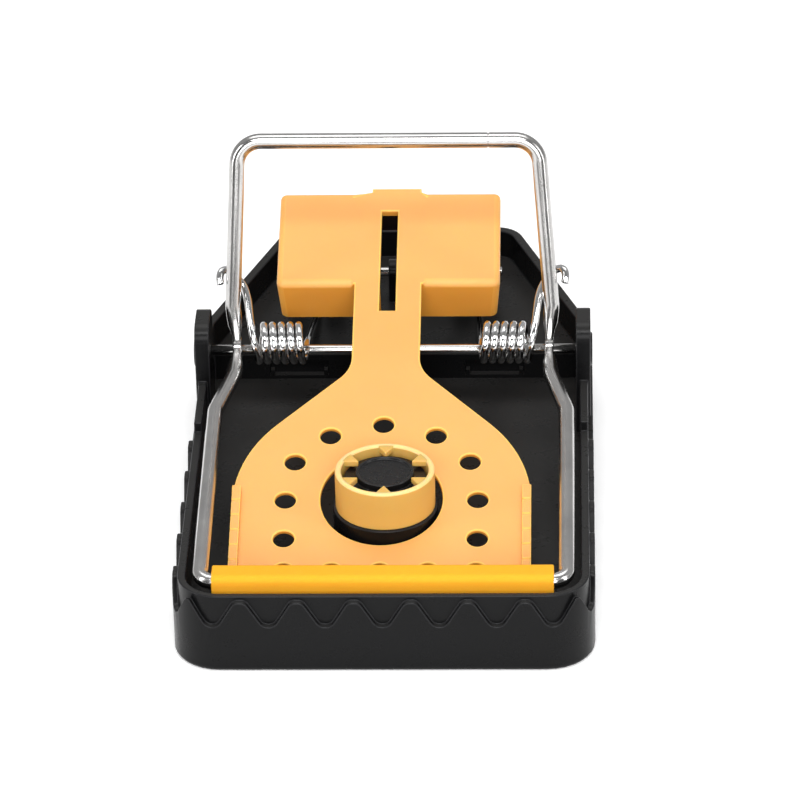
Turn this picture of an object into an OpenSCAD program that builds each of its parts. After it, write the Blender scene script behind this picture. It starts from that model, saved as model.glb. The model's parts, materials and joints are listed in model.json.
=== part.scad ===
// Snap mouse trap: a deep tray with a sprung wire bar, a rocking treadle and a twist-out bait dish.
// Millimetres. X is across, Y runs from the front (-) to the rear (+), Z is up from the surface it stands on.

/* [Base] */
// Overall width of the base
base_w = 82; // [80:0.5:86]
// Overall length of the base
base_l = 146; // [144:0.5:152]
// Height of the rim along the front and the scalloped sides
rim_z = 16.6; // [15.5:0.1:18]
// Height of the rim round the rear half
rear_rim_z = 18.8; // [18:0.1:20]
// Height of the tray floor under the treadle
floor_z = 6.6; // [5.5:0.1:6.7]
// Height of the raised deck at the rear
deck_z = 12.5; // [11:0.1:12.8]
// Thickness of the moulded floor and deck
panel_t = 2; // [1.6:0.1:2.4]
// Spacing of the scallops round the rim
scallop_pitch = 10.98; // [10:0.02:11]
// Height of the lowest point of each scallop
scallop_z = 10.2; // [9:0.1:11]
// How far the scalloped skirt stands proud of the wall
relief = 1.1; // [0.7:0.1:1.3]

/* [Axle and bar] */
// Distance of the axle from the front edge
axle_from_front = 84.7; // [84:0.1:86]
// Height of the axle
axle_z = 23; // [22.5:0.1:24]
// Diameter of the axle rod
axle_d = 2.1; // [2:0.05:2.3]
// Diameter of the wire of the bar
wire_d = 3.2; // [3:0.1:3.4]
// Distance of the striking bar from the front edge
strike_from_front = 6.9; // [6.5:0.1:7.5]
// Height of the striking bar at rest
strike_z = 16.2; // [16:0.1:17]
// Length of the lever loop from the axle to its crossbar
lever_l = 43.6; // [43:0.1:44.2]
// How far the lever loop leans back at rest, in degrees
lever_lean = 17.3; // [15:0.1:18]

/* [Springs] */
// Diameter of the spring wire
spring_wire_d = 1.6; // [1.4:0.1:1.7]
// Mean radius of the spring coil
coil_r = 3.65; // [3.5:0.05:3.8]
// Distance from one turn to the next
coil_pitch = 1.8; // [1.78:0.01:1.84]

/* [Treadle] */
// Slope of the treadle plate at rest, in degrees
treadle_tilt = 17; // [16.5:0.1:17.2]
// Thickness of the treadle plate
plate_t = 1.1; // [1:0.1:1.6]
// Half width of the treadle plate
plate_half = 29.7; // [28.5:0.1:30]
// Radius of the hole round the bait ring
bait_hole_r = 12.15; // [11.9:0.05:12.4]
// Half width of the neck
neck_half = 6.95; // [6:0.05:7.5]
// Half width of the box at the rear of the treadle
box_half = 23.2; // [22.5:0.1:23.6]
// Depth of the box, square to the plate
box_depth = 10; // [9:0.1:11]
// Side play: how far the treadle sits off centre
treadle_shift = -1.2; // [-1.4:0.1:0]

/* [Bait ring and dish] */
// Distance of the bait ring from the front edge
bait_from_front = 37.7; // [37.4:0.1:38]
// Outer radius of the bait ring
ring_r = 9.9; // [9.7:0.1:10]
// Height of the top of the bait ring
ring_top_z = 23; // [21:0.1:23.5]
// Number of teeth in the bait ring
tooth_count = 6; // [4:1:8]
// Height of the shoulder of the dish inside the ring
dish_shoulder_z = 21; // [20.6:0.1:21.1]

/* [Hidden] */
$fn = 64;

half_w = base_w / 2;
front_y = -base_l / 2;
axle_y = front_y + axle_from_front;
strike_y = front_y + strike_from_front;
bait_y = front_y + bait_from_front;
bait_x = -0.4;

// Base
front_corner_r = 9.4;
rear_corner_r = 7;
side_corner_r = 4;
chamfer_start = 104.2;
rear_half_w = 25.4;
front_wall = 2.3;
side_wall = 2.7;
rear_wall = 3;
skirt_wall = 2.4;
rim_step_y = front_y + 62.5;
deck_y = front_y + 101;
collar_r = 10.4;
collar_z = 14.7;
collar_bore_r = 9.2;
dish_well_r = 13.6;
boss_r = 15.2;
boss_z = 0.4;
shelf_l = 11;
shelf_from_front = 1.6;
shelf_gap = 0.5;
sleeve_w = 5.4;
sleeve_corner_r = 1.3;
shelf_z = strike_z - sleeve_w / 2 - shelf_gap;
ear_half = 5.8;
ear_top_z = 30.9;
ear_top_r = 3.6;
ear_boss_r = 3.4;
ear_in = 37.5;
ear_out = 40.5;
ear_boss_out = 40.9;
axle_half_l = 39.7;

// Slots in the step of the deck
pocket_x = 20.5;
pocket = [12.4, 1.6, 3.6];
pocket_place = [0.7, 2.6];
notch = [0.8, 2.4, 2];
notch_place = [0.6, 1, 1];

// Treadle pivot
pin_y = front_y + 125.6;
pin_z = 18.5;
pin_r = 1;
pin_half_l = 22;
post_r = 2.7;
post_w = 4.4;
post_spacing = 13.5;
post_sink = 1;
lug_boss_r = 2.9;
lug_shape = [[-14.6, 9.9], [-4, 13.5], [lug_boss_r, 0.5], [0, -1], [0.2 - lug_boss_r, 0]];
lug_in = 18.6;
lug_out = 22.4;

// Bar
eye_x = 32.05;
eye_r = 2.9;
eye_t = 1.8;
eye_flat_half = 2.1;
eye_flat_l = 2.6;
eye_taper_l = 3.6;
wire_sides = 12;
jog_bend_r = 7;
jog_start_x = 32.35;
jog_start_l = 9;
jog_end_l = 21.5;
lever_foot_l = 9;
running_gap = 0.07;
bar_half = 35.5;
lever_foot_x = 32.7;
lever_top_x = 30.6;
lever_skew = 0.016;
strike_bend_r = 3.2;
lever_bend_r = 5;
sleeve_half = 33;

// Treadle, measured from the centre of the bait hole along the plate
plate_front = -24.8;
shoulder_angle = 44;
neck_fillet_r = 8;
box_front = 59.6;
box_rear = 86.2;
box_draft = 4.5;
box_wall = 1.5;
slot_half_w = 1.65;
slot_start = 52;
slot_end = 80.6;
small_hole_r = 2.1;
front_row_u = -18.3;
front_row_pitch = 9.45;
bait_hole_u = 0.6;
hole_ring_r = 20.3;
hole_row_x = 19.1;
hole_row_u = [0.2, -9.9];
hole_angles = [-59.5, -31.5, 0, 31.5, 59.5];
tongue_l = 1;
tongue_x = [-3.8, 6.5];
side_lip_h = 1.5;
side_lip_w = 1.8;
side_lip_end = 2.9;
side_lip_pitch = 3.9;
lip_notch = [3, 0.6, 0.5];
plate_z = 15.54;

// Bait dish
dish_r = 8.15;
dish_body_r = 6.7;
dish_rim_r = 5.75;
dish_inner_r = 5.15;
dish_rim_z = 22.4;
dish_shoulder_t = 1.4;
dish_flange_r = 13.2;
dish_wall = 1.5;
dish_recess = 0.4;
grip_t = 2;
grip_h = 6;
dish_flange_z = 0.7;
dish_flange_t = 1.3;
lug_z = 3.5;
lug_t = 0.8;
lug_r = 11.6;
lug_w = 4.6;
tab_z = 2.3;
tab_t = 0.9;
tab_in_r = 9.2;
tab_w = 9;
overlap = 0.5;

// Bait ring
ring_wall = 1.25;
ring_foot_z = 8;
ring_bore_r = ring_r - ring_wall;
tooth_tip_r = 6;
tooth_half = 2;
tooth_t = 1.4;
tooth_root_r = ring_bore_r + 0.8;
tooth_drop = 0.1;

function unit(v) = v / norm(v);
function turn(a) = [cos(a), sin(a)];
function reversed(list) = [for (i = [len(list) - 1:-1:0]) list[i]];
function mirrored(points) = [for (p = reversed(points)) [-p.x, p.y]];

// Arc that rounds the corner b of the path a, b, c with radius r
function fillet(a, b, c, r) =
    let (
        u = unit(a - b),
        w = unit(c - b),
        half = acos(u * w) / 2,
        centre = b + unit(u + w) * r / sin(half),
        from = b + u * r / tan(half) - centre,
        to = b + w * r / tan(half) - centre,
        start = atan2(from.y, from.x),
        sweep = (atan2(to.y, to.x) - start + 540) % 360 - 180,
        steps = 8
    )
    [for (i = [0:steps]) centre + r * turn(start + sweep * i / steps)];

// Closed outline with each corner rounded by its own radius
function rounded(points, radii) =
    let (n = len(points))
    [for (i = [0:n - 1]) each radii[i] == 0
        ? [points[i]]
        : fillet(points[(i + n - 1) % n], points[i], points[(i + 1) % n], radii[i])];

// Corner p moved in by d1 from its first edge and d2 from its second, whose inward normals are n1 and n2
function moved_in(p, n1, d1, n2, d2) =
    p + [d1 * n2.y - d2 * n1.y, d2 * n1.x - d1 * n2.x] / (n1.x * n2.y - n1.y * n2.x);

// Outline of the base, moved in by a distance for each kind of edge
function base_outline(front, side, rear) =
    let (
        corners = [
            [-half_w, front_y], [half_w, front_y], [half_w, front_y + chamfer_start],
            [rear_half_w, -front_y], [-rear_half_w, -front_y], [-half_w, front_y + chamfer_start],
        ],
        amounts = [front, side, rear, rear, rear, side],
        n = len(corners),
        normals = [for (i = [0:n - 1])
            let (edge = unit(corners[(i + 1) % n] - corners[i]))
            [-edge.y, edge.x]]
    )
    [for (i = [0:n - 1])
        let (before = (i + n - 1) % n)
        moved_in(corners[i], normals[before], amounts[before], normals[i], amounts[i])];

module base_plan(front, side, rear) {
    polygon(rounded(base_outline(front, side, rear), [
        front_corner_r - side, front_corner_r - side, side_corner_r,
        rear_corner_r - rear, rear_corner_r - rear, side_corner_r,
    ]));
}

// Cylinder along X, centred on x
module along_x(x, y, z, r, l) {
    translate([x, y, z]) rotate([0, 90, 0]) cylinder(r = r, h = l, center = true);
}

// Closed tube along a path: one ring of corners square to each point, with its own half sizes.
// The first half size lies across the path, square to the reference direction, and the second along it.
function tube_rings(path, half_sizes, reference, sides) = [
    for (i = [0:len(path) - 1])
        let (
            along = unit(path[min(i + 1, len(path) - 1)] - path[max(i - 1, 0)]),
            across = unit(cross(along, reference)),
            up = cross(across, along)
        )
        for (k = [0:sides - 1])
            let (a = 360 * (k + 0.5) / sides)
            path[i] + half_sizes[i].x * cos(a) * across + half_sizes[i].y * sin(a) * up
];

module tube(path, half_sizes, reference, sides) {
    n = len(path);
    walls = [
        for (i = [0:n - 2])
            for (k = [0:sides - 1])
                let (a = i * sides + k, b = i * sides + (k + 1) % sides)
                each [[a, b, b + sides], [a, b + sides, a + sides]]
    ];
    first = [for (k = [sides - 1:-1:0]) k];
    last = [for (k = [0:sides - 1]) (n - 1) * sides + k];
    points = tube_rings(path, half_sizes, reference, sides);
    polyhedron(points = points, faces = concat(walls, [first], [last]));
}

// Scallop between two crests: a rounded trough with straight flanks that open out to the rim
scallop_trough_r = 1.9;
scallop_crest_r = 1.9;
scallop_flank = 62;
side_scallop_start = 18.4;
side_scallop_pitch = 11.8;
corner_facing = 70;
scallop_crest_drop = 0.9;
scallop_crest_flat = 0.08;
scallop_cut_l = 7;
skirt_top_z = rim_z - scallop_crest_drop;
scallop_top = skirt_top_z + scallop_crest_flat - scallop_z;
scallop_outline =
    let (
        half = scallop_pitch / 2,
        trough = [for (a = [-scallop_flank:scallop_flank / 4:scallop_flank])
            [scallop_trough_r * sin(a), scallop_trough_r * (1 - cos(a))]],
        right_crest = [for (a = [90 + scallop_flank:-scallop_flank / 4:90])
            [half, scallop_top - scallop_crest_r] + scallop_crest_r * turn(a)],
        top = [[half, scallop_top + 2], [-half, scallop_top + 2]]
    )
    concat(trough, right_crest, top, mirrored(right_crest));

// One scallop cut through the skirt only, facing out at a point of the outline
module scallop_cut(x, y, facing) {
    translate([x, y, scallop_z])
        rotate([0, 0, facing])
            rotate([90, 0, 0])
                linear_extrude(height = scallop_cut_l, center = true)
                    polygon(scallop_outline);
}

module scallop_cuts() {
    for (i = [-3:3]) {
        scallop_cut(i * scallop_pitch, front_y, 0);
    }
    corner = front_corner_r * turn(90 - corner_facing);
    for (side = [-1, 1]) {
        scallop_cut(
            side * (half_w - front_corner_r + corner.x),
            front_y + front_corner_r - corner.y,
            side * corner_facing
        );
        for (j = [0:4]) {
            scallop_cut(side * half_w, front_y + side_scallop_start + j * side_scallop_pitch, side * 90);
        }
    }
}

// Slots in the step of the deck, under the spring legs, each with a notch at both ends
module spring_pockets() {
    for (side = [-1, 1]) {
        difference() {
            translate([side * pocket_x, deck_y + pocket_place.x, floor_z + pocket_place.y])
                cube(pocket, center = true);
            for (end = [-1, 1]) {
                notch_x = side * pocket_x + end * (pocket.x / 2 - notch_place.x);
                translate([notch_x, deck_y + notch_place.y, floor_z + notch_place.z])
                    cube(notch, center = true);
            }
        }
    }
}

// Ear that carries one end of the axle
module ear(side) {
    x = side * (ear_in + ear_out) / 2;
    for (s = [-1, 1]) {
        along_x(x, axle_y + s * (ear_half - ear_top_r), ear_top_z - ear_top_r, ear_top_r, ear_out - ear_in);
    }
    translate([x, axle_y, (ear_top_z + floor_z) / 2])
        cube([ear_out - ear_in, 2 * (ear_half - ear_top_r), ear_top_z - floor_z], center = true);
    translate([x, axle_y, (ear_top_z - ear_top_r + floor_z) / 2])
        cube([ear_out - ear_in, 2 * ear_half, ear_top_z - ear_top_r - floor_z], center = true);
    along_x(side * (ear_in + ear_boss_out) / 2, axle_y, axle_z, ear_boss_r, ear_boss_out - ear_in);
}

// Post that holds the treadle pin
module pin_post(x, w) {
    along_x(x, pin_y, pin_z, post_r, w);
    translate([x, pin_y, (pin_z + deck_z - post_sink) / 2])
        cube([w, 2 * post_r, pin_z - deck_z + post_sink], center = true);
}

// Tabs in the well that hold the lugs of the bait dish
module well_tabs() {
    intersection() {
        difference() {
            translate([bait_x, bait_y, tab_z]) cylinder(r = dish_well_r + overlap, h = tab_t);
            translate([bait_x, bait_y, tab_z - 1]) cylinder(r = tab_in_r, h = tab_t + 2);
        }
        translate([bait_x, bait_y, tab_z + tab_t / 2]) cube([4 * dish_well_r, tab_w, tab_t], center = true);
    }
}

module base_tray() {
    color("#262628") difference() {
        union() {
            difference() {
                union() {
                    // Skirt with its scalloped edge
                    linear_extrude(height = scallop_z) base_plan(0, 0, 0);
                    difference() {
                        intersection() {
                            linear_extrude(height = skirt_top_z) base_plan(0, 0, 0);
                            translate([0, front_y, 0])
                                cube([2 * base_w, 2 * (rim_step_y - front_y), 3 * rim_z], center = true);
                        }
                        scallop_cuts();
                    }
                    // Wall inside the skirt, higher round the rear half
                    linear_extrude(height = rim_z) base_plan(relief, relief, relief);
                    intersection() {
                        linear_extrude(height = rear_rim_z) base_plan(relief, relief, relief);
                        translate([0, rim_step_y + base_l / 2, 0])
                            cube([base_w, base_l, 2 * rear_rim_z], center = true);
                    }
                    ear(-1);
                    ear(1);
                }
                // Tray
                difference() {
                    translate([0, 0, floor_z])
                        linear_extrude(height = rear_rim_z) base_plan(front_wall, side_wall, rear_wall);
                    translate([0, deck_y + base_l / 2, 0])
                        cube([base_w, base_l, 2 * deck_z], center = true);
                    for (side = [-1, 1]) {
                        ear(side);
                    }
                }
                // Hollow underside
                translate([0, 0, -1]) intersection() {
                    linear_extrude(height = floor_z - panel_t + 1) base_plan(skirt_wall, side_wall, rear_wall);
                    translate([0, deck_y - base_l / 2, 0]) cube([base_w, base_l, base_l], center = true);
                }
                translate([0, 0, -1]) intersection() {
                    linear_extrude(height = deck_z - panel_t + 1) base_plan(skirt_wall, side_wall, rear_wall);
                    translate([0, deck_y + panel_t + base_l / 2, 0])
                        cube([base_w, base_l, base_l], center = true);
                }
            }
            // Shelf under the striking bar
            translate([0, front_y + shelf_l / 2 + shelf_from_front, (floor_z + shelf_z) / 2])
                cube([2 * sleeve_half + 1, shelf_l, shelf_z - floor_z], center = true);
            // Collar and well of the bait dish
            translate([bait_x, bait_y, floor_z - 1]) cylinder(r = collar_r, h = collar_z - floor_z + 1);
            translate([bait_x, bait_y, boss_z])
                cylinder(r = boss_r, h = floor_z - panel_t - boss_z + overlap);
            for (i = [-1:1]) {
                pin_post(i * post_spacing, post_w);
            }
        }
        translate([bait_x, bait_y, floor_z - panel_t]) cylinder(r = collar_bore_r, h = rim_z);
        difference() {
            translate([bait_x, bait_y, -1]) cylinder(r = dish_well_r, h = floor_z - panel_t + 1);
            well_tabs();
        }
        spring_pockets();
        along_x(0, axle_y, axle_z, axle_d / 2, 2 * axle_half_l);
        along_x(0, pin_y, pin_z, pin_r, 2 * pin_half_l);
    }
}

module axle_rod() {
    color("#c9c9cc") along_x(0, axle_y, axle_z, axle_d / 2, 2 * axle_half_l);
}

module treadle_pin() {
    color("#b9b9bd") along_x(0, pin_y, pin_z, pin_r, 2 * pin_half_l);
}

module bait_ring() {
    color("#f3c473") translate([bait_x, bait_y, 0]) {
        difference() {
            union() {
                translate([0, 0, collar_z]) cylinder(r = ring_r, h = ring_top_z - collar_z);
                translate([0, 0, ring_foot_z])
                    cylinder(r = collar_bore_r, h = collar_z - ring_foot_z + overlap);
            }
            translate([0, 0, ring_foot_z - 1]) cylinder(r = ring_bore_r, h = ring_top_z);
        }
        for (i = [0:tooth_count - 1]) {
            translate([0, 0, ring_top_z - tooth_t - tooth_drop])
                rotate([0, 0, 90 + i * 360 / tooth_count])
                    linear_extrude(height = tooth_t)
                        polygon([[tooth_tip_r, 0], [tooth_root_r, tooth_half], [tooth_root_r, -tooth_half]]);
        }
    }
}

// Torsion spring: leg on the deck, coil round the axle, leg up to a hook behind the lever
coil_start_x = 18.4;
coil_turns = 5.1;
turn_steps = 20;
side_steps = 8;
deck_leg_end = [17.1, front_y + 118, deck_z + spring_wire_d / 2 + 0.1];
coil_lift = 1.6;
hook_reach = 16.3;
hook_behind = wire_d / 2 + spring_wire_d / 2 + 0.3;

function lever_point(s, behind, x) = [
    x,
    axle_y + s * sin(lever_lean) + behind * cos(lever_lean),
    axle_z + s * cos(lever_lean) - behind * sin(lever_lean),
];

function coil_point(t) = [
    coil_start_x + coil_pitch * t,
    axle_y - coil_r * sin(360 * t),
    axle_z + coil_lift - coil_r * cos(360 * t),
];

coil_path = [for (i = [0:coil_turns * turn_steps]) coil_point(i / turn_steps)];

// Along the lever, behind its plane and across
hook_points = [
    [2, -2.8, 28.4],
    [6, -1.6, 29.2],
    [10.5, 0.9, 29.9],
    [13, hook_behind - 0.2, 30.9],
    [15, hook_behind, 32.5],
    [hook_reach, hook_behind - 0.2, 34],
    [hook_reach, hook_behind - 1.4, 35.1],
    [hook_reach - 1.1, hook_behind - 2.4, 35.5],
    [hook_reach - 2.4, hook_behind - 3.1, 35.3],
];
hook_path = [for (p = hook_points) lever_point(p[0], p[1], p[2])];
spring_path = concat([deck_leg_end], coil_path, hook_path);

module torsion_spring_right() {
    half = [for (p = spring_path) [1, 1] * spring_wire_d / 2];
    color("#d6d6da") tube(spring_path, half, [0.3, 0.2, 0.93], side_steps);
}

module torsion_spring_left() {
    mirror([1, 0, 0]) torsion_spring_right();
}

// Half sizes of the wire at a distance from the axle: pressed flat at the eyes, round beyond them
function wire_half(distance) =
    let (t = min(max((distance - eye_flat_l) / eye_taper_l, 0), 1))
    (1 - t) * [eye_t / 2 - 0.05, eye_flat_half] + t * [1, 1] * wire_d / 2;

// Wire from one eye to the other, from its right half: points as x and distance from the axle
module loop_wire(half_path, skew = 0) {
    path = concat(half_path, mirrored(half_path));
    points = [for (p = path) [p.x - skew * p.y, p.y, 0]];
    tube(points, [for (p = path) wire_half(abs(p.y))], [0, 0, 1], wire_sides);
}

// Striking loop, in its own plane that slopes down and forward from the axle
module strike_loop() {
    slope = atan((axle_z - strike_z) / (axle_y - strike_y));
    reach = -norm([axle_y - strike_y, axle_z - strike_z]);
    jog_start = [jog_start_x, -jog_start_l];
    jog_end = [bar_half, -jog_end_l];
    corner = [bar_half, reach];
    half_path = concat(
        [[eye_x, 0], [eye_x, -eye_flat_l]],
        fillet([eye_x, -eye_flat_l], jog_start, jog_end, jog_bend_r),
        fillet(jog_start, jog_end, corner, jog_bend_r),
        fillet(jog_end, corner, [0, reach], strike_bend_r)
    );
    translate([0, axle_y, axle_z]) rotate([slope, 0, 0]) loop_wire(half_path);
}

// Lever loop, in a plane that leans back from the axle
module lever_loop() {
    foot = [lever_foot_x, lever_foot_l];
    corner = [lever_top_x, lever_l];
    half_path = concat(
        [[eye_x, 0], [eye_x, eye_flat_l]],
        fillet([eye_x, eye_flat_l], foot, corner, jog_bend_r),
        fillet(foot, corner, [0, lever_l], lever_bend_r)
    );
    translate([0, axle_y, axle_z]) rotate([90 - lever_lean, 0, 0]) loop_wire(half_path, lever_skew);
}

module snap_bar() {
    color("#bdbdc1") difference() {
        union() {
            strike_loop();
            lever_loop();
            for (side = [-1, 1]) {
                along_x(side * eye_x, axle_y, axle_z, eye_r, eye_t);
            }
        }
        for (side = [-1, 1]) {
            along_x(side * eye_x, axle_y, axle_z, axle_d / 2 + running_gap, eye_t + 2);
        }
    }
}

// Rounded square tube that pads the striking bar
module bar_sleeve() {
    h = sleeve_w / 2;
    section = rounded([[-h, -h], [h, -h], [h, h], [-h, h]], [for (i = [0:3]) sleeve_corner_r]);
    color("#f5b926") translate([0, strike_y, strike_z]) difference() {
        rotate([90, 0, 90]) linear_extrude(height = 2 * sleeve_half, center = true) polygon(section);
        rotate([0, 90, 0]) cylinder(d = wire_d, h = base_w, center = true);
    }
}

shoulder = [for (i = [0:11]) plate_half * turn(shoulder_angle * i / 11)];
shoulder_end = shoulder[11];
neck_corner = [neck_half, shoulder_end.y + (shoulder_end.x - neck_half) / tan(shoulder_angle)];
plate_side = concat(
    [[plate_half, plate_front]], shoulder,
    fillet(shoulder_end, neck_corner, [neck_half, box_front], neck_fillet_r),
    [[neck_half, box_front + 1]]
);

module plate_plan() {
    difference() {
        polygon(concat(plate_side, mirrored(plate_side)));
        translate([0, bait_hole_u]) circle(r = bait_hole_r);
        for (a = hole_angles) {
            translate(hole_ring_r * [sin(a), cos(a)]) circle(r = small_hole_r);
        }
        for (side = [-1, 1]) {
            for (u = hole_row_u) {
                translate([side * hole_row_x, u]) circle(r = small_hole_r);
            }
        }
        for (i = [-2:2]) {
            translate([i * front_row_pitch, front_row_u]) circle(r = small_hole_r);
        }
    }
}

// Raised lip along one side of the plate, with a small step every few millimetres
module side_lip(side) {
    l = side_lip_end - plate_front;
    x = side * (plate_half - side_lip_w / 2);
    difference() {
        translate([x, plate_front + l / 2, side_lip_h / 2])
            cube([side_lip_w, l, side_lip_h], center = true);
        for (i = [1:floor(l / side_lip_pitch)]) {
            translate([x, side_lip_end - i * side_lip_pitch, side_lip_h]) cube(lip_notch, center = true);
        }
    }
}

// Box at the rear, open below, whose sides close in towards the bottom
module treadle_box() {
    l = box_rear - box_front;
    difference() {
        translate([0, box_front + l / 2, -box_depth / 2]) cube([2 * box_half, l, box_depth], center = true);
        translate([0, box_front + l / 2, -box_depth / 2 - box_wall])
            cube([2 * (box_half - 2 * box_wall), l - 2 * box_wall, box_depth], center = true);
        for (side = [-1, 1]) {
            translate([side * box_half, box_front + l / 2, 0])
                rotate([0, side * box_draft, 0])
                    translate([side * box_half, 0, -box_half])
                        cube([2 * box_half, 2 * l, 2 * box_half], center = true);
        }
    }
    tongue_w = tongue_x[1] - tongue_x[0];
    translate([tongue_x[0], box_rear - 1, -plate_t]) cube([tongue_w, tongue_l + 1, plate_t]);
}

// Lugs under the box that turn on the pin, drawn in the frame of the base
module pin_lugs() {
    outline = [for (p = lug_shape) [pin_y + p.x, pin_z + p.y]];
    for (side = [-1, 1]) {
        x = treadle_shift + side * (lug_in + lug_out) / 2;
        along_x(x, pin_y, pin_z, lug_boss_r, lug_out - lug_in);
        translate([x, 0, 0]) rotate([90, 0, 90])
            linear_extrude(height = lug_out - lug_in, center = true) polygon(outline);
    }
}

module treadle() {
    color("#f4c777") difference() {
        union() {
            translate([treadle_shift, bait_y, plate_z]) rotate([treadle_tilt, 0, 0]) difference() {
                union() {
                    translate([0, 0, -plate_t]) linear_extrude(height = plate_t) plate_plan();
                    side_lip(-1);
                    side_lip(1);
                    treadle_box();
                }
                translate([-slot_half_w, slot_start, -1.5 * box_depth])
                    cube([2 * slot_half_w, slot_end - slot_start, 2 * box_depth]);
            }
            pin_lugs();
        }
        along_x(0, pin_y, pin_z, pin_r + running_gap, 2 * pin_half_l + 1);
    }
}

// Plug with a shallow dish on top, open below but for a bar to turn it by
module bait_dish() {
    bore_r = dish_body_r - dish_wall;
    shoulder_bottom = dish_shoulder_z - dish_shoulder_t;
    color("#2c2c2e") translate([bait_x, bait_y, 0]) difference() {
        union() {
            translate([0, 0, dish_flange_z]) cylinder(r = dish_flange_r, h = dish_flange_t);
            translate([0, 0, dish_flange_z])
                cylinder(r = dish_body_r, h = shoulder_bottom - dish_flange_z + overlap);
            translate([0, 0, shoulder_bottom]) cylinder(r = dish_r, h = dish_shoulder_t);
            translate([0, 0, dish_shoulder_z - 1])
                cylinder(r = dish_rim_r, h = dish_rim_z - dish_shoulder_z + 1);
            intersection() {
                translate([0, 0, lug_z]) cylinder(r = lug_r, h = lug_t);
                translate([0, 0, lug_z + lug_t / 2]) cube([3 * lug_r, lug_w, lug_t], center = true);
            }
        }
        translate([0, 0, dish_rim_z - dish_recess]) cylinder(r = dish_inner_r, h = 2 * dish_recess);
        difference() {
            cylinder(r = bore_r, h = shoulder_bottom);
            translate([0, 0, dish_flange_z + grip_h / 2]) cube([3 * bore_r, grip_t, grip_h], center = true);
        }
    }
}

base_tray();
axle_rod();
treadle_pin();
bait_ring();
torsion_spring_left();
torsion_spring_right();
snap_bar();
bar_sleeve();
treadle();
bait_dish();
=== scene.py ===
"""Looks of the snap mouse trap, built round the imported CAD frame."""
import json
import math
from collections import namedtuple

import bmesh
import bpy
from mathutils import Matrix, Vector
from mathutils.geometry import intersect_line_line_2d


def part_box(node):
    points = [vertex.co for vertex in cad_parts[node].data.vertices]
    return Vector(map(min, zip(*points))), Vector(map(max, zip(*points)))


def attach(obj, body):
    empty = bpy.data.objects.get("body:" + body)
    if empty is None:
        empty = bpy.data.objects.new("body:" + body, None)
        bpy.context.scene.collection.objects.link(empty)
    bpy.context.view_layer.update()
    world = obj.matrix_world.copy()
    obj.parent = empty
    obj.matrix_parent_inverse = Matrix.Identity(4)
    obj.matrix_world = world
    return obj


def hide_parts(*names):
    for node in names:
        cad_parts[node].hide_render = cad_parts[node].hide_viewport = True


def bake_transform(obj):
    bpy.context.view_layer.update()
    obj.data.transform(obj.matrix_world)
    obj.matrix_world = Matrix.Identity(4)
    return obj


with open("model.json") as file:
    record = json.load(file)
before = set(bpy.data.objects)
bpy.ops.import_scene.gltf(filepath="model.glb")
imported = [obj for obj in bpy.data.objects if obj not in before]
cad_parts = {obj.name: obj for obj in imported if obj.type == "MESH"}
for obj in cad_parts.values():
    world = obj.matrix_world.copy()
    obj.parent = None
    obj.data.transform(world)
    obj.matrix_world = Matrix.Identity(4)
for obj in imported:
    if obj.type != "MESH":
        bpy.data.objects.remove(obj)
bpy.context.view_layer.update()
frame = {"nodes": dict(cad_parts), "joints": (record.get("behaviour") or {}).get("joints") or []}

MM = 0.001
JOINTS = {joint["name"]: joint for joint in frame["joints"]}
AXLE = Vector(JOINTS["snap_bar_hinge"]["pos_m"])
BAIT = Vector(JOINTS["bait_dish_twist"]["pos_m"])
SIDES = (-1, 1)

# Camera that was fitted to the photo: metres, degrees and millimetres of film
CAMERA_PLACE = Vector((35.23, -868.17, 531.08)) * MM
CAMERA_ELEVATION = 30.573
CAMERA_AZIMUTH = 2.22
CAMERA_ROLL = -1.33
CAMERA_LENS = 222.43
CAMERA_FILM = 36
CAMERA_NEAREST = 0.05

# Area lights: place and size in metres, power in watts
Light = namedtuple("Light", "name place size power")
LIGHTS = [
    Light("overhead", (0.0, 0.25, 0.8), (0.8, 0.4), 2.2),
    Light("top_front", (0.0, -0.42, 0.72), (0.5, 0.16), 3),
    Light("front_box", (0.05, -0.85, 0.42), (0.8, 0.4), 5.8),
    Light("left_strip", (-0.6, -0.25, 0.3), (0.12, 0.5), 1.2),
    Light("right_strip", (0.6, -0.25, 0.3), (0.12, 0.5), 1.2),
]
LIT_PLACE = (0, 0, 0.02)
FLOOR_HALF = 3.0
FLOOR_TONES = (0.93, 0.93, 0.93), (0.96, 0.96, 0.96)
# The surroundings are dark up to the first Y of a direction, and bright from the second
WORLD_GREY = (0.5, 0.5, 0.5, 1)
WORLD_TURN = (-0.6, 0.3)
WORLD_STRENGTH = (0.2, 0.85)


# ---------------------------------------------------------------- shader nodes


def node_material(name):
    material = bpy.data.materials.new(name)
    material.use_nodes = True
    tree = material.node_tree
    return material, tree, tree.nodes["Principled BSDF"]


def object_coordinates(tree):
    return tree.nodes.new("ShaderNodeTexCoord").outputs["Object"]


def attribute(tree, name, output="Fac"):
    node = tree.nodes.new("ShaderNodeAttribute")
    node.attribute_name = name
    return node.outputs[output]


def noise_node(tree, coordinates, scale, detail, roughness=0.5):
    node = tree.nodes.new("ShaderNodeTexNoise")
    node.inputs["Scale"].default_value = scale
    node.inputs["Detail"].default_value = detail
    node.inputs["Roughness"].default_value = roughness
    tree.links.new(coordinates, node.inputs["Vector"])
    return node.outputs["Fac"]


def remap(tree, value, source, target):
    """Stretches a value from the source range, low and high, to the target range."""
    node = tree.nodes.new("ShaderNodeMapRange")
    node.inputs["From Min"].default_value, node.inputs["From Max"].default_value = source
    node.inputs["To Min"].default_value, node.inputs["To Max"].default_value = target
    tree.links.new(value, node.inputs["Value"])
    return node.outputs["Result"]


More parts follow.
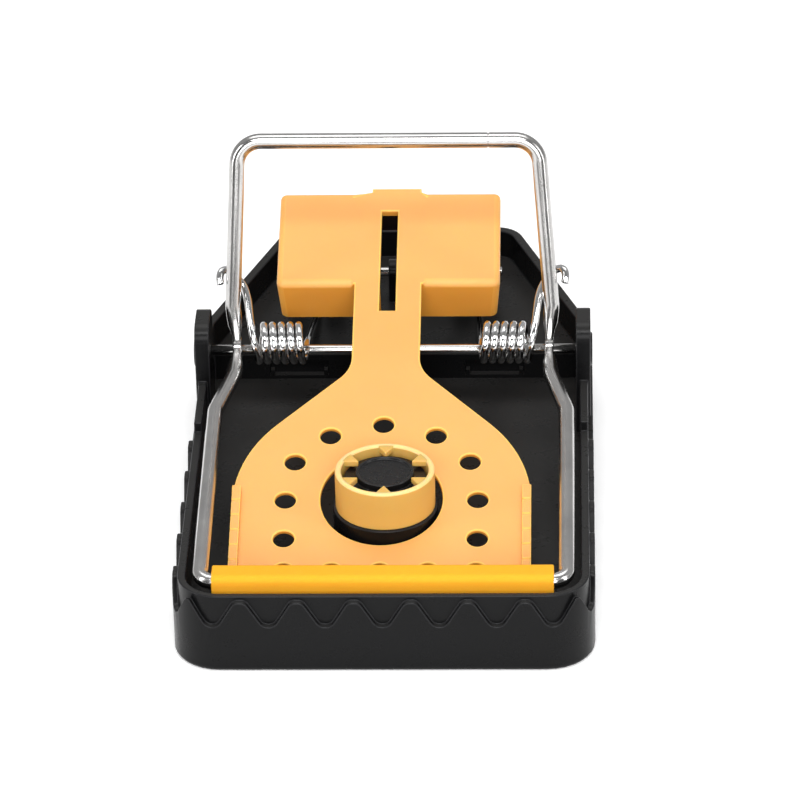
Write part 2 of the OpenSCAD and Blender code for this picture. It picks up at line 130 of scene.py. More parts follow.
def mix_colours(tree, factor, first, second):
    """Mixes two colours, each a tuple or a socket, by a socket."""
    node = tree.nodes.new("ShaderNodeMix")
    node.data_type = "RGBA"
    tree.links.new(factor, node.inputs["Factor"])
    for key, colour in (("A", first), ("B", second)):
        socket = next(i for i in node.inputs if i.name == key and i.type == "RGBA")
        if isinstance(colour, tuple):
            socket.default_value = (*colour, 1)
        else:
            tree.links.new(colour, socket)
    return next(o for o in node.outputs if o.type == "RGBA")


def bump(tree, shader, height, distance):
    node = tree.nodes.new("ShaderNodeBump")
    node.inputs["Distance"].default_value = distance
    tree.links.new(height, node.inputs["Height"])
    tree.links.new(node.outputs["Normal"], shader.inputs["Normal"])


def coordinate(tree, vector, axis):
    """One coordinate of a vector socket."""
    split = tree.nodes.new("ShaderNodeSeparateXYZ")
    tree.links.new(vector, split.inputs["Vector"])
    return split.outputs[axis]


# ---------------------------------------------------------------- camera, light and floor


def make_camera():
    elevation, azimuth = math.radians(CAMERA_ELEVATION), math.radians(CAMERA_AZIMUTH)
    roll = math.radians(CAMERA_ROLL)
    back = Vector((
        math.sin(azimuth) * math.cos(elevation),
        -math.cos(azimuth) * math.cos(elevation),
        math.sin(elevation),
    ))
    right = (-back).cross(Vector((0, 0, 1))).normalized()
    up = right.cross(-back)
    across = right * math.cos(roll) + up * math.sin(roll)
    upward = up * math.cos(roll) - right * math.sin(roll)
    data = bpy.data.cameras.new("camera")
    data.lens = CAMERA_LENS
    data.sensor_width = CAMERA_FILM
    data.clip_start = CAMERA_NEAREST
    camera = bpy.data.objects.new("camera", data)
    bpy.context.scene.collection.objects.link(camera)
    facing = Matrix((across, upward, back)).transposed().to_4x4()
    camera.matrix_world = Matrix.Translation(CAMERA_PLACE) @ facing
    bpy.context.scene.camera = camera


def make_light(light):
    data = bpy.data.lights.new(light.name, "AREA")
    data.shape = "RECTANGLE"
    data.size, data.size_y = light.size
    data.energy = light.power
    lamp = bpy.data.objects.new(light.name, data)
    lamp.location = light.place
    away = Vector(light.place) - Vector(LIT_PLACE)
    lamp.rotation_euler = away.to_track_quat("Z", "Y").to_euler()
    bpy.context.scene.collection.objects.link(lamp)


def make_world():
    """Grey surroundings, dark on the camera's side and brighter behind the trap."""
    world = bpy.data.worlds.new("studio")
    world.use_nodes = True
    tree = world.node_tree
    direction = tree.nodes.new("ShaderNodeTexCoord").outputs["Generated"]
    background = tree.nodes["Background"]
    background.inputs["Color"].default_value = WORLD_GREY
    strength = remap(tree, coordinate(tree, direction, "Y"), WORLD_TURN, WORLD_STRENGTH)
    tree.links.new(strength, background.inputs["Strength"])
    bpy.context.scene.world = world


def floor_material():
    material, tree, shader = node_material("pale_floor")
    tone = noise_node(tree, object_coordinates(tree), 6, 3)
    colour = mix_colours(tree, tone, *FLOOR_TONES)
    tree.links.new(colour, shader.inputs["Base Color"])
    shader.inputs["Roughness"].default_value = 0.8
    shader.inputs["Emission Color"].default_value = (1, 1, 1, 1)
    shader.inputs["Emission Strength"].default_value = 0.2
    return material


def make_floor():
    mesh = bpy.data.meshes.new("floor")
    corners = [(x * FLOOR_HALF, y * FLOOR_HALF, 0) for x, y in ((-1, -1), (1, -1), (1, 1), (-1, 1))]
    mesh.from_pydata(corners, [], [(0, 1, 2, 3)])
    floor = bpy.data.objects.new("floor", mesh)
    bpy.context.scene.collection.objects.link(floor)
    floor.data.materials.append(floor_material())


def make_studio():
    bpy.context.scene.view_settings.view_transform = "Standard"
    make_world()
    for light in LIGHTS:
        make_light(light)
    make_floor()


# ---------------------------------------------------------------- materials

# Painted shade: a near black brown painted on the faces inside a hollow, where shade falls
PAINTED_HOLLOW_SHADE = (0.02, 0.012, 0.01)
# How far up a face looks, from -1 to 1, where the painted shade on undersides ends and the painted light on
# tops begins
UNDERSIDE_SHADE_FACING = (-0.3, 0.0)
TOP_LIGHT_FACING = (0.6, 0.95)
# Scales of the textures, the part of each noise that is used, and what it changes
CLOUD_SCALE, SCUFF_SCALE, GRAIN_SCALE, TARNISH_SCALE = 55, 160, 2600, 90
CLOUD_DARKER, CLOUD_LIGHTER, TARNISHED = 0.93, 1.05, 0.78
SCUFF_NOISE, SCUFF_ROUGHNESS = (0.3, 0.75), (-0.05, 0.1)
TARNISH_NOISE = (0.35, 0.7)
LINE_NOISE, LINE_ROUGHNESS, LINE_HEIGHT = (0.3, 0.7), (0.7, 1.4), 0.00001
# How deep light goes into the plastic, in metres, and its share for red, green and blue
LIGHT_DEPTH = 0.0015
LIGHT_SHARES = (1.0, 0.45, 0.1)


def moulded_plastic(name, body, edge, roughness, specular, grain, subsurface=0.0, below=None, painted_top_light=None):
    """Moulded plastic: a cloudy body colour, a painted highlight in the edge colour on rounded edges, fine
    grain and a few faint scuffs.

    Faces that look down take the colour below as painted shade, and faces that look up take the colour for
    tops as painted light, where those are given.
    """
    material, tree, shader = node_material(name)
    where = object_coordinates(tree)
    darker = tuple(CLOUD_DARKER * c for c in body)
    lighter = tuple(min(1.0, CLOUD_LIGHTER * c) for c in body)
    colour = mix_colours(tree, noise_node(tree, where, CLOUD_SCALE, 4), darker, lighter)
    facing = coordinate(tree, tree.nodes.new("ShaderNodeNewGeometry").outputs["Normal"], "Z")
    # Painted shade: faces that look down take the darker colour below
    if below:
        colour = mix_colours(tree, remap(tree, facing, UNDERSIDE_SHADE_FACING, (1, 0)), colour, below)
    # Painted light: faces that look up take the lighter colour for tops
    if painted_top_light:
        colour = mix_colours(tree, remap(tree, facing, TOP_LIGHT_FACING, (0, 1)), colour, painted_top_light)
    # Painted highlight: faces of rounded edges take the brighter edge colour
    colour = mix_colours(tree, attribute(tree, "edge"), colour, edge)
    # Painted shade on the faces inside a hollow
    colour = mix_colours(tree, attribute(tree, "painted_hollow_shade"), colour, PAINTED_HOLLOW_SHADE)
    tree.links.new(colour, shader.inputs["Base Color"])
    scuff = noise_node(tree, where, SCUFF_SCALE, 8, 0.7)
    shine = remap(tree, scuff, SCUFF_NOISE, [roughness + change for change in SCUFF_ROUGHNESS])
    tree.links.new(shine, shader.inputs["Roughness"])
    bump(tree, shader, noise_node(tree, where, GRAIN_SCALE, 2), grain)
    shader.inputs["Specular IOR Level"].default_value = specular
    if subsurface:
        shader.inputs["Subsurface Weight"].default_value = subsurface
        shader.inputs["Subsurface Radius"].default_value = LIGHT_SHARES
        shader.inputs["Subsurface Scale"].default_value = LIGHT_DEPTH
    return material


def drawn_steel(name, colour, roughness):
    """Bright drawn wire: fine lines along the wire, with a little tarnish."""
    material, tree, shader = node_material(name)
    lines = noise_node(tree, attribute(tree, "wire", "Vector"), 1.0, 3, 0.6)
    tarnish = noise_node(tree, object_coordinates(tree), TARNISH_SCALE, 5, 0.6)
    dull = tuple(TARNISHED * c for c in colour)
    tint = mix_colours(tree, remap(tree, tarnish, TARNISH_NOISE, (1, 0)), dull, colour)
    tree.links.new(tint, shader.inputs["Base Color"])
    shine = remap(tree, lines, LINE_NOISE, [roughness * change for change in LINE_ROUGHNESS])
    tree.links.new(shine, shader.inputs["Roughness"])
    shader.inputs["Metallic"].default_value = 1.0
    bump(tree, shader, lines, LINE_HEIGHT)
    return material


def make_materials():
    # Edge colours are a painted highlight on rounded edges, colours for undersides a painted shade, and the
    # base's colour for tops painted light
    plastics = {
        "base_black": dict(
            body=(0.0045, 0.0045, 0.0048), edge=(0.016, 0.016, 0.017), roughness=0.28, specular=0.13,
            grain=0.000008, painted_top_light=(0.024, 0.0235, 0.023),
        ),
        "dish_black": dict(
            body=(0.006, 0.006, 0.0065), edge=(0.014, 0.014, 0.015), roughness=0.25, specular=0.3,
            grain=0.000008,
        ),
        "treadle_yellow": dict(
            body=(0.82, 0.39, 0.108), edge=(0.97, 0.56, 0.13), roughness=0.42, specular=0.35,
            grain=0.000012, subsurface=0.25, below=(0.8, 0.32, 0.04),
        ),
        "ring_yellow": dict(
            body=(0.69, 0.41, 0.1), edge=(0.93, 0.62, 0.25), roughness=0.4, specular=0.4,
            grain=0.000012, subsurface=0.3,
        ),
        "sleeve_amber": dict(
            body=(0.86, 0.385, 0.024), edge=(0.86, 0.385, 0.024), roughness=0.65, specular=0.08,
            grain=0.00001, subsurface=0.2, below=(0.8, 0.3, 0.012),
        ),
    }
    steels = {
        "bar_steel": dict(colour=(0.62, 0.61, 0.6), roughness=0.2),
        "spring_steel": dict(colour=(0.8, 0.8, 0.8), roughness=0.12),
        "rod_steel": dict(colour=(0.66, 0.65, 0.64), roughness=0.16),
    }
    made = {name: moulded_plastic(name, **look) for name, look in plastics.items()}
    made.update({name: drawn_steel(name, **look) for name, look in steels.items()})
    return made


# ---------------------------------------------------------------- mesh helpers

# A rounding, its width in millimetres, of the sharp edges whose middle wanted() picks
Rounding = namedtuple("Rounding", "width segments wanted clamp")
FLAT_WEIGHT = 80
# Faces of a rounding up to this wide take the whole painted edge highlight
PAINTED_HIGHLIGHT_WIDTH = 0.3
FLAT_WITHIN = math.radians(0.5)
SHARP_FROM = math.radians(30)
# Metres
WELD_GAP = 2e-6
TINY = 1e-7


def everywhere(middle):
    return True


def unit(vector):
    return vector.normalized()


def turn(degrees):
    return Vector((math.cos(math.radians(degrees)), math.sin(math.radians(degrees))))


def between(value, low, high):
    return low < value < high


def near(value, target, gap=0.1):
    return abs(value - target) < gap


def middle_of(edge):
    """Middle of an edge in millimetres."""
    return (edge.verts[0].co + edge.verts[1].co) / 2 / MM


def object_from(name, builder):
    mesh = bpy.data.meshes.new(name)
    builder.normal_update()
    builder.to_mesh(mesh)
    builder.free()
    piece = bpy.data.objects.new(name, mesh)
    bpy.context.scene.collection.objects.link(piece)
    return piece


def finish_piece(piece, body, node, material, sharp_angle=55, flat_faces=True):
    """Shades a piece, parents it to its body and hides the CAD node that it replaces. A piece that blends two
    bodies has no body here.
    """
    mesh = piece.data
    mesh.materials.clear()
    mesh.materials.append(material)
    for polygon in mesh.polygons:
        polygon.use_smooth = True
    mesh.set_sharp_from_angle(angle=math.radians(sharp_angle))
    if flat_faces:
        weighted = piece.modifiers.new("flat_faces", "WEIGHTED_NORMAL")
        weighted.keep_sharp = True
        weighted.weight = FLAT_WEIGHT
    if body:
        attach(piece, body)
    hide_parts(node)


def cad_mesh(node):
    """The node's own shape as a clean mesh: welded, with its flat faces joined."""
    builder = bmesh.new()
    builder.from_mesh(frame["nodes"][node].data)
    bmesh.ops.remove_doubles(builder, verts=builder.verts, dist=WELD_GAP)
    bmesh.ops.dissolve_limit(
        builder, angle_limit=FLAT_WITHIN, use_dissolve_boundaries=False,
        verts=builder.verts, edges=builder.edges,
    )
    return builder


def round_edges(builder, rounding, slide):
    """Rounds the wanted edges, and marks the new faces with how much of the painted edge highlight they take.
    """
    marked = builder.faces.layers.float.get("edge") or builder.faces.layers.float.new("edge")
    edges = [
        edge for edge in builder.edges
        if len(edge.link_faces) == 2 and edge.calc_face_angle(0) > SHARP_FROM
        and rounding.wanted(middle_of(edge))
    ]
    made = bmesh.ops.bevel(
        builder, geom=edges, offset=rounding.width * MM, offset_type="OFFSET", segments=rounding.segments,
        profile=0.5, affect="EDGES", clamp_overlap=rounding.clamp, miter_outer="ARC", loop_slide=slide,
    )
    for face in made["faces"]:
        face[marked] = min(1.0, PAINTED_HIGHLIGHT_WIDTH / rounding.width)


def keep_inside(builder, node):
    """Moves any corner that a wide rounding threw out of the node's box back onto it."""
    low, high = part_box(node)
    for vert in builder.verts:
        vert.co = Vector(min(max(c, a), b) for c, a, b in zip(vert.co, low, high))


def small_knot(face):
    """The few corners between two edges of a face that cross each other."""
    across = unit(face.verts[1].co - face.verts[0].co)
    up = face.normal.cross(across)
    corners = list(face.verts)
    flat = [Vector((vert.co.dot(across), vert.co.dot(up))) / MM for vert in corners]
    count = len(flat)
    for i in range(count):
        for j in range(i + 2, count):
            after = (j + 1) % count
            if after != i and intersect_line_line_2d(flat[i], flat[i + 1], flat[j], flat[after]):
                inside = corners[i + 1:j + 1]
                return inside if 2 * len(inside) <= count else corners[j + 1:] + corners[:i + 1]
    return []


def untie_faces(builder):
    """Merges each small knot, tied where two roundings meet, into one corner, so that faces fill cleanly."""
    rounds, few_corners, short = 4, 7, 1.5 * MM
    for _ in range(rounds):
        builder.normal_update()
        knots = [small_knot(face) for face in builder.faces if len(face.verts) > 4]
        for knot in knots:
            if len(knot) < 2 or not all(vert.is_valid for vert in knot):
                continue
            if len(knot) < few_corners or all((vert.co - knot[0].co).length < short for vert in knot):
                middle = sum((vert.co for vert in knot), Vector()) / len(knot)
                bmesh.ops.pointmerge(builder, verts=knot, merge_co=middle)
    bmesh.ops.dissolve_degenerate(builder, dist=TINY, edges=builder.edges)


def rounded_copy(name, node, body, material, roundings, prepare=None, painted_hollow_shade=None, slide=True):
    """Piece with a CAD node's shape and rounded edges. Faces that the hollow test picks take a painted shade,
    near black, for the shade inside a hollow.
    """
    builder = cad_mesh(node)
    if prepare:
        prepare(builder)
    for rounding in roundings:
        round_edges(builder, rounding, slide)
    untie_faces(builder)
    keep_inside(builder, node)
    if painted_hollow_shade:
        marked = builder.faces.layers.float.new("painted_hollow_shade")
        for face in builder.faces:
            face[marked] = 1.0 if painted_hollow_shade(face.calc_center_median() / MM) else 0.0
    finish_piece(object_from(name, builder), body, node, material)


def arc(centre, radius, start, end, steps=6):
    return [Vector(centre) + radius * turn(start + (end - start) * i / steps) for i in range(steps + 1)]


def fillet(before, corner, after, radius):
    """Arc that rounds a corner of a flat path."""
    steps = 14
    back, forth = unit(before - corner), unit(after - corner)
    half = math.acos(max(-1, min(1, back.dot(forth)))) / 2
    centre = corner + unit(back + forth) * radius / math.sin(half)
    first = corner + back * radius / math.tan(half) - centre
    last = corner + forth * radius / math.tan(half) - centre
    start = math.degrees(math.atan2(first.y, first.x))
    sweep = (math.degrees(math.atan2(last.y, last.x)) - start + 540) % 360 - 180
    return [centre + radius * turn(start + sweep * i / steps) for i in range(steps + 1)]


def steps_between(start, end, count):
    return [start.lerp(end, i / count) for i in range(count)]


def smooth_through(points, steps):
    """Smooth curve through the points, with the same number of steps from each to the next."""
    curve = []
    for i in range(len(points) - 1):
        before, start, end = points[max(i - 1, 0)], points[i], points[i + 1]
        after = points[min(i + 2, len(points) - 1)]
        for k in range(steps):
            t = k / steps
            curve.append(0.5 * (
                2 * start + (end - before) * t + (2 * before - 5 * start + 4 * end - after) * t * t
                + (3 * start - before - 3 * end + after) * t ** 3
            ))
    return curve + [points[-1]]


def join_rings(builder, low, high):
    """Band of faces between two rings of corners."""
    faces = []
    for k in range(len(low)):
        m = (k + 1) % len(low)
        faces.append(builder.faces.new((low[k], low[m], high[m], high[k])))
    return faces


# ---------------------------------------------------------------- steel helpers

# How dense the steel's fine lines are: round a wire, along a wire, and on turned parts
LINES_ROUND, LINES_ALONG, LINES_TURNED = 5, 0.04, 1.5
# A direction that no wire follows
ODD_DIRECTION = Vector((0.31, 0.17, 0.94))


def wire_layer(builder):
    """Corner attribute with the coordinates that the steel's fine lines follow."""
    layers = builder.verts.layers.float_vector
    return layers.get("wire") or layers.new("wire")


def path_frames(path, reference):
    """Two directions square to a path at each of its points, the first square to any reference as well."""
    last = len(path) - 1
    tangents = [unit(path[min(i + 1, last)] - path[max(i - 1, 0)]) for i in range(len(path))]
    across = unit(tangents[0].cross(reference or ODD_DIRECTION))
    frames = []
    for tangent in tangents:
        if reference:
            across = unit(tangent.cross(reference))
        else:
            across = unit(across - tangent * across.dot(tangent))
        frames.append((across, across.cross(tangent)))
    return frames


def add_wire(builder, path, half_sizes, reference=None, sides=24):
    """Tube along a path in millimetres. Each point has a half width, a half height and the oval's power."""
    coordinates = wire_layer(builder)
    rings, distance, previous = [], 0.0, path[0]
    frames = path_frames(path, reference)
    for point, (across, up), (half_wide, half_high, power) in zip(path, frames, half_sizes):
        distance += (point - previous).length
        previous = point
        ring = []
        for k in range(sides):
            angle = 2 * math.pi * k / sides
            cos, sin = math.cos(angle), math.sin(angle)
            wide, high = math.copysign(abs(cos) ** power, cos), math.copysign(abs(sin) ** power, sin)
            vert = builder.verts.new((point + half_wide * wide * across + half_high * high * up) * MM)
            vert[coordinates] = Vector((LINES_ROUND * cos, LINES_ROUND * sin, LINES_ALONG * distance))
            ring.append(vert)
        rings.append(ring)
    for low, high in zip(rings, rings[1:]):
        join_rings(builder, low, high)
    builder.faces.new(list(reversed(rings[0])))
    builder.faces.new(rings[-1])


def chamfered_ends(path, radius, chamfer):
    """Path and half sizes of a round wire whose ends are chamfered."""
    first = path[0] + unit(path[1] - path[0]) * chamfer
    last = path[-1] + unit(path[-2] - path[-1]) * chamfer
    points = [path[0], first] + path[1:-1] + [last, path[-1]]
    halves = [(radius, radius, 1)] * len(points)
    halves[0] = halves[-1] = (radius - chamfer, radius - chamfer, 1)
    return points, halves


def finish_wire(piece, body, node, material):
    finish_piece(piece, body, node, material, sharp_angle=50, flat_faces=False)


def add_lathe(builder, profile, centre, segments, axis_x=False):
    """Ring turned from a closed profile of radius and height, round Z or round X, in millimetres."""
    coordinates = wire_layer(builder)
    rings = []
    for radius, height in profile:
        ring = []
        for k in range(segments):
            angle = 2 * math.pi * k / segments
            one, two = radius * math.cos(angle), radius * math.sin(angle)
            place = Vector((height, one, two)) if axis_x else Vector((one, two, height))
            vert = builder.verts.new((centre + place) * MM)
            vert[coordinates] = Vector((one, two, height)) * LINES_TURNED
            ring.append(vert)
        rings.append(ring)
    for low, high in zip(rings, rings[1:] + rings[:1]):
        join_rings(builder, low, high)


# ---------------------------------------------------------------- pieces

# Millimetres and degrees, as the CAD draws them
AXLE_MM = AXLE / MM
BAIT_MM = BAIT / MM
TREADLE_TILT = 17
TREADLE_X = -1.2
PLATE_Z = 15.54
WIRE_R = 1.6
EYE_X = 32.05
EYE_FLAT_L = 2.6
EYE_TAPER_L = 3.6
LEVER_LEAN = 17.3
LEVER_L = 43.6
SPRING_R = 0.8


def in_treadle(point):
    """A point in the treadle's own frame: across, along the plate from the bait ring, and square to it."""
    from_bait = point - Vector((TREADLE_X, BAIT_MM.y, PLATE_Z))
    tilt = math.radians(TREADLE_TILT)
    cos, sin = math.cos(tilt), math.sin(tilt)
    along = from_bait.y * cos + from_bait.z * sin
    return Vector((from_bait.x, along, -from_bait.y * sin + from_bait.z * cos))


def make_base(materials):
    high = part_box("base_tray")[1]
    half_w, half_l = high[0] / MM, high[1] / MM
    edge_band, corner_reach = 1.4, 89.5
    lowest_seen = 9
    slots_y, slots_half, slots_top = (25.5, 31), 27.5, 12.2

    def foot(middle):
        """Whether an edge belongs to the outline that the base stands on."""
        outside = abs(middle.x) > half_w - edge_band or abs(middle.y) > half_l - edge_band
        in_corner = abs(middle.x) + abs(middle.y) > corner_reach
        return near(middle.z, 0) and (outside or in_corner)

    def in_sight(middle):
        """Whether an edge shows, apart from those of the narrow slots in the step of the deck."""
        at_slots = between(middle.y, *slots_y) and abs(middle.x) < slots_half
        return middle.z > lowest_seen and not (at_slots and middle.z < slots_top)

    rounded_copy(
        "base_moulding", "base_tray", "base", materials["base_black"],
        [
            Rounding(1.0, 4, foot, clamp=False),
            Rounding(0.25, 3, in_sight, clamp=False),
            Rounding(0.2, 2, everywhere, clamp=True),
        ],
    )


def make_treadle(materials):
    # Millimetres in the treadle's own frame
    box_front, box_rear, box_half, box_depth = 59.6, 86.2, 23.2, 10.0
    box_taper, upright_x, upright_z = 0.4, 0.3, 1.5
    front_wall, side_wall = 1.2, 1.3
    hollow_rear, hollow_top = 85, -1.4
    plate_t, plate_end = 1.1, 58
    front_corner_x, front_corner_y = 27.5, 4
    lip_end, neck_half = 10, 7.7
    lug_edges, lug_faces_x, lug_gap = (74.42, 85.29), (22.3, 22.405), 0.25
    on_face, on_skin = 0.05, 0.03

    def cut_at_neck(builder):
        """Splits the box's front edge beside the neck, so that its rounding ends there."""
        faces = set()
        for edge in builder.edges:
            place = in_treadle(middle_of(edge))
            if near(place.y, box_front, on_face) and near(place.z, 0, on_face):
                faces.update(edge.link_faces)
        for side in SIDES:
            faces = {face for face in faces if face.is_valid}
            geometry = set(faces)
            for face in faces:
                geometry.update(face.edges, face.verts)
            made = bmesh.ops.bisect_plane(
                builder, geom=list(geometry), plane_co=Vector((TREADLE_X + side * neck_half, 0, 0)) * MM,
                plane_no=(1, 0, 0), dist=TINY,
            )
            faces.update(part for part in made["geom"] if isinstance(part, bmesh.types.BMFace))

    def prepare(builder):
        """Cuts at the neck, and draws the lugs in from the foot of the box, which they would touch."""
        cut_at_neck(builder)
        for vert in builder.verts:
            place = in_treadle(vert.co / MM)
            at_lug = any(near(place.y, edge) for edge in lug_edges)
            at_foot = near(place.z, -box_depth, on_face)
            if at_lug and at_foot and between(abs(place.x), *lug_faces_x):
                vert.co.x -= math.copysign(lug_gap * MM, place.x)

    def box_outside(middle):
        place = in_treadle(middle)
        front = near(place.y, box_front) and abs(place.x) > neck_half + on_face
        side = near(abs(place.x), box_half)
        rear = near(place.y, box_rear)
        at_side = near(abs(place.x), box_half - box_taper, upright_x)
        upright = at_side and near(place.z, -box_depth / 2, upright_z)
        return near(place.z, 0) and (front or side or rear) or upright

    def on_lip(middle):
        place = in_treadle(middle)
        return place.z > on_face and place.y < lip_end

    def on_plate(middle):
        place = in_treadle(middle)
        front_corner = place.y < front_corner_y and abs(place.x) > front_corner_x
        on_top = near(place.z, 0, on_skin) and not front_corner
        below = near(place.z, -plate_t, on_skin) and place.y < plate_end
        return on_top or below

    # Picks the faces inside the box's hollow, which take painted shade
    def in_hollow(middle):
        place = in_treadle(middle)
        along = between(place.y, box_front + front_wall, hollow_rear)
        return along and place.z < hollow_top and abs(place.x) < box_half - side_wall

    rounded_copy(
        "treadle_moulding", "treadle", "treadle", materials["treadle_yellow"],
        [
            Rounding(1.4, 5, box_outside, clamp=False),
            Rounding(0.12, 2, on_lip, clamp=False),
            Rounding(0.3, 3, on_plate, clamp=False),
            Rounding(0.3, 2, everywhere, clamp=True),
        ],
        prepare, in_hollow, slide=False,
    )


def add_tooth(builder, centre, angle, top, root_r):
    """Tooth of the bait ring: a wedge that points at the middle, with all its edges rounded."""
    tip_r, half_w, drop, foot_drop, edge_r = 6.0, 2.0, 0.1, 1.5, 0.28
    cos, sin = turn(angle)
    outlines = []
    for height in (top - foot_drop, top - drop):
        outlines.append([
            builder.verts.new((centre + Vector((r * cos - t * sin, r * sin + t * cos, height))) * MM)
            for r, t in ((tip_r, 0.0), (root_r, half_w), (root_r, -half_w))
        ])
    faces = [builder.faces.new(list(reversed(outlines[0]))), builder.faces.new(outlines[1])]
    faces += join_rings(builder, *outlines)
    edges = list({edge for face in faces for edge in face.edges})
    bmesh.ops.bevel(
        builder, geom=edges, offset=edge_r * MM, offset_type="OFFSET", segments=3, profile=0.5,
        affect="EDGES",
    )


def make_bait_ring(materials):
    wall, round_r, shoulder_r = 1.25, 0.6, 0.3
    collar_z, collar_bore_r = 14.7, 9.2
    tooth_count, root_depth = 6, 0.8
    rim_depth, rim_margin = 0.5, 0.1
    low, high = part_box("bait_ring")
    outer, top, foot = (high[0] - low[0]) / 2 / MM, high[2] / MM, low[2] / MM
    bore = outer - wall
    centre = Vector((BAIT_MM.x, BAIT_MM.y, 0))
    profile = [Vector((bore, foot)), Vector((collar_bore_r, foot)), Vector((collar_bore_r, collar_z))]
    profile += arc((outer - shoulder_r, collar_z + shoulder_r), shoulder_r, -90, 0, 3)
    profile += arc((outer - round_r, top - round_r), round_r, 0, 90)
    profile += arc((bore + round_r, top - round_r), round_r, 90, 180)
    builder = bmesh.new()
    add_lathe(builder, profile, centre, segments=96)
    for i in range(tooth_count):
        add_tooth(builder, centre, 90 + 360 / tooth_count * i, top, bore + root_depth)
    bmesh.ops.recalc_face_normals(builder, faces=builder.faces)
    # Painted highlight: faces round the top of the ring's rim take the brighter edge colour
    marked = builder.faces.layers.float.new("edge")
    for face in builder.faces:
        middle = face.calc_center_median() / MM
        radius = (middle.xy - centre.xy).length
        face[marked] = 1.0 if middle.z > top - rim_depth and radius > bore - rim_margin else 0.0
    piece = object_from("toothed_ring", builder)
    finish_piece(piece, "base", "bait_ring", materials["ring_yellow"], sharp_angle=75)


def make_dish(materials):
    roundings = [Rounding(0.18, 3, everywhere, clamp=True)]
    rounded_copy("dish", "bait_dish", "bait_dish", materials["dish_black"], roundings)


def make_sleeve(materials):
    roundings = [Rounding(0.3, 3, everywhere, clamp=False)]
    rounded_copy("sleeve", "bar_sleeve", "snap_bar", materials["sleeve_amber"], roundings)


def wire_half(distance):
    """Half sizes of the bar's wire: pressed flat at the eyes, and round beyond them."""
    flat_half_t, flat_half_w, flat_power = 0.86, 2.1, 0.45
    t = min(max((distance - EYE_FLAT_L) / EYE_TAPER_L, 0), 1)
    t = t * t * (3 - 2 * t)
    return (
        (1 - t) * flat_half_t + t * WIRE_R,
        (1 - t) * flat_half_w + t * WIRE_R,
        flat_power + (1 - flat_power) * t,
    )


def half_loop(corners, bends):
    """Right half of a loop, from inside the eye to its last bend. The first corner ends the eye's flat."""
    inside_eye, eye_steps, leg_steps = 1.5, 3, 4
    eye = corners[0]
    start = Vector((eye.x, math.copysign(inside_eye, eye.y)))
    arcs = [fillet(*corners[i:i + 3], bend) for i, bend in enumerate(bends)]
    path = steps_between(start, eye, eye_steps) + steps_between(eye, arcs[0][0], leg_steps)
    return path + [point for bent in arcs for point in bent]


def add_loop(builder, half_path, lean, skew=0.0, seam_x=None):
    """Loop of wire from eye to eye, from its right half, in a plane that leans about the axle.

    At seam_x, a shallow groove shows where the ends of the wire are joined.
    """
    seam_edge, seam_half, seam_depth = 0.16, 0.1, 0.9
    turned = Matrix.Rotation(lean, 3, "X")
    seam = []
    if seam_x:
        shifts = (seam_edge, seam_half, -seam_half, -seam_edge)
        seam = [Vector((seam_x + shift, half_path[-1].y)) for shift in shifts]
    flat = half_path + seam + [Vector((-p.x, p.y)) for p in reversed(half_path)]
    halves = []
    for point in flat:
        thick, wide, power = wire_half(abs(point.y))
        groove = seam_depth if seam_x and near(point.x, seam_x, (seam_half + seam_edge) / 2) else 1
        halves.append((thick * groove, wide * groove, power))
    path = [AXLE_MM + turned @ Vector((p.x - skew * p.y, p.y, 0)) for p in flat]
    add_wire(builder, path, halves, turned @ Vector((0, 0, 1)))


def add_striking_loop(builder):
    """Front loop, from the axle down to the middle of the sleeve."""
    jog_start, jog_end_l, bar_half = (32.35, -9), 21.5, 35.5
    jog_bend_r, corner_bend_r = 7, 3.2
    low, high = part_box("bar_sleeve")
    forward = AXLE_MM.y - (low[1] + high[1]) / 2 / MM
    down = AXLE_MM.z - (low[2] + high[2]) / 2 / MM
    reach = -math.hypot(forward, down)
    corners = [
        Vector((EYE_X, -EYE_FLAT_L)), Vector(jog_start), Vector((bar_half, -jog_end_l)),
        Vector((bar_half, reach)), Vector((0, reach)),
    ]
    half_path = half_loop(corners, (jog_bend_r, jog_bend_r, corner_bend_r))
    add_loop(builder, half_path, math.atan2(down, forward))


def add_lever_loop(builder):
    """Rear loop, which stands up from the axle and leans back."""
    foot, top_x = (32.7, 9), 30.6
    foot_bend_r, corner_bend_r = 7, 5
    skew, seam_x = 0.016, 20.5
    corners = [Vector((EYE_X, EYE_FLAT_L)), Vector(foot), Vector((top_x, LEVER_L)), Vector((0, LEVER_L))]
    half_path = half_loop(corners, (foot_bend_r, corner_bend_r))
    add_loop(builder, half_path, math.radians(90 - LEVER_LEAN), skew, seam_x)


def add_eyes(builder):
    """Flattened eyes that turn on the axle."""
    eye_r, bore_r, half_t, outer_round, inner_round = 2.9, 1.12, 0.9, 0.3, 0.2
    profile = arc((eye_r - outer_round, half_t - outer_round), outer_round, 0, 90, 4)
    profile += arc((bore_r + inner_round, half_t - inner_round), inner_round, 90, 180, 3)
    profile += [Vector((p.x, -p.y)) for p in reversed(profile)]
    for side in SIDES:
        centre = AXLE_MM + Vector((side * EYE_X, 0, 0))
        add_lathe(builder, profile, centre, segments=48, axis_x=True)


def make_bar(materials):
    builder = bmesh.new()
    add_striking_loop(builder)
    add_lever_loop(builder)
    add_eyes(builder)
    bmesh.ops.recalc_face_normals(builder, faces=builder.faces)
    piece = object_from("wire_bar", builder)
    finish_wire(piece, "snap_bar", "snap_bar", materials["bar_steel"])


def lever_point(up, behind, x):
    """Point beside the lever loop: its distance up the lever from the axle, and behind the lever's middle."""
    lean = math.radians(LEVER_LEAN)
    return Vector((
        x,
        AXLE_MM.y + up * math.sin(lean) + behind * math.cos(lean),
        AXLE_MM.z + up * math.cos(lean) - behind * math.sin(lean),
    ))


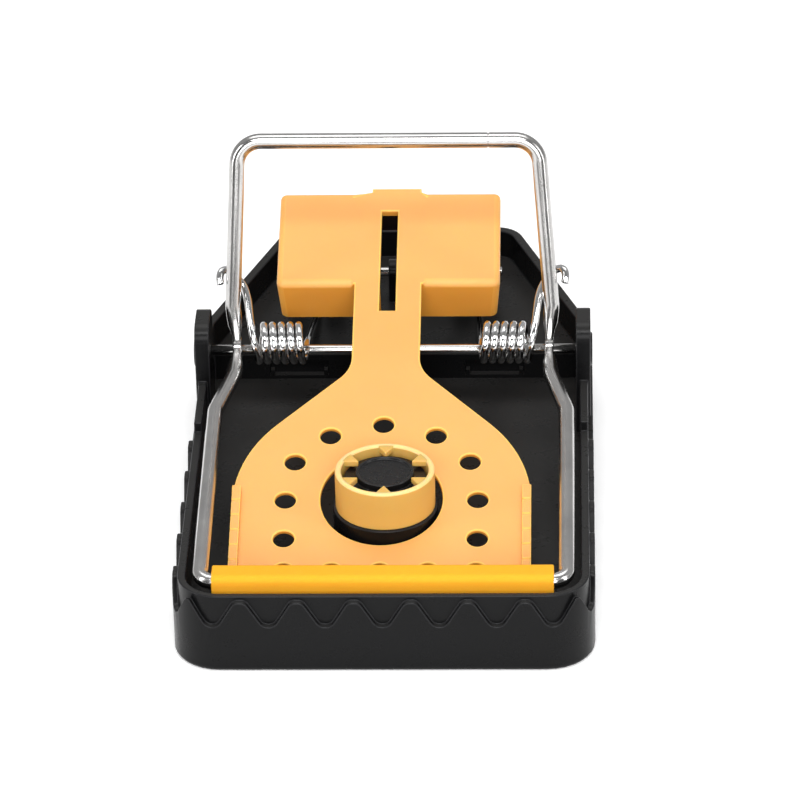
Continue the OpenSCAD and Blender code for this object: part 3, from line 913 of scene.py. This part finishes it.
def make_spring(name, node, side, material):
    """Coil round the axle, with a leg on the deck and a hook that goes round the lever from behind."""
    coil_r, pitch, start_x, turns, coil_rise = 3.65, 1.8, 18.4, 5.1, 1.6
    lever_gap, end_chamfer = 0.3, 0.25
    steps, leg_steps, curve_steps = 40, 6, 8
    centre = AXLE_MM + Vector((0, 0, coil_rise))
    coil = []
    for i in range(round(turns * steps) + 1):
        angle = 2 * math.pi * i / steps
        y, z = centre.y - coil_r * math.sin(angle), centre.z - coil_r * math.cos(angle)
        coil.append(Vector((start_x + pitch * i / steps, y, z)))
    reach, behind = 16.3, WIRE_R + SPRING_R + lever_gap
    # The hook's points: how far up the lever, how far behind its middle, and x
    hook_route = [
        (2, -2.8, 28.4), (6, -1.6, 29.2), (10.5, 0.9, 29.9), (13, behind - 0.2, 30.9), (15, behind, 32.5),
        (reach, behind - 0.2, 34), (reach, behind - 1.4, 35.1), (reach - 1.1, behind - 2.4, 35.5),
        (reach - 2.4, behind - 3.1, 35.3),
    ]
    coil_end = [coil[-5], coil[-1]]
    curve = smooth_through(coil_end + [lever_point(*place) for place in hook_route], curve_steps)
    hook = curve[curve_steps + 1:]
    leg_end, leg_bend = Vector((17.1, 45.0, 13.4)), Vector((18.1, coil[0].y + 4, coil[0].z + 0.85))
    leg = steps_between(leg_end, leg_bend, leg_steps) + [leg_bend]
    points, halves = chamfered_ends(leg + coil + hook, SPRING_R, end_chamfer)
    builder = bmesh.new()
    add_wire(builder, [Vector((side * p.x, p.y, p.z)) for p in points], halves, sides=16)
    bmesh.ops.recalc_face_normals(builder, faces=builder.faces)
    piece = object_from(name, builder)
    finish_wire(piece, None, node, material)
    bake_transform(piece)


def make_rod(name, node, material):
    """Straight rod along X that fills the node's box."""
    end_chamfer = 0.2
    low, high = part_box(node)
    radius = (high[2] - low[2]) / 2 / MM
    y, z = (low[1] + high[1]) / 2 / MM, (low[2] + high[2]) / 2 / MM
    path = [Vector((x, y, z)) for x in (low[0] / MM, 0, high[0] / MM)]
    points, halves = chamfered_ends(path, radius, end_chamfer)
    builder = bmesh.new()
    add_wire(builder, points, halves, reference=Vector((0, 0, 1)), sides=32)
    bmesh.ops.recalc_face_normals(builder, faces=builder.faces)
    finish_wire(object_from(name, builder), "base", node, material)


make_camera()
make_studio()
materials = make_materials()
make_base(materials)
make_treadle(materials)
make_bait_ring(materials)
make_dish(materials)
make_sleeve(materials)
make_bar(materials)
make_spring("spring_left", "torsion_spring_left", -1, materials["spring_steel"])
make_spring("spring_right", "torsion_spring_right", 1, materials["spring_steel"])
make_rod("axle", "axle_rod", materials["rod_steel"])
make_rod("pin", "treadle_pin", materials["rod_steel"])
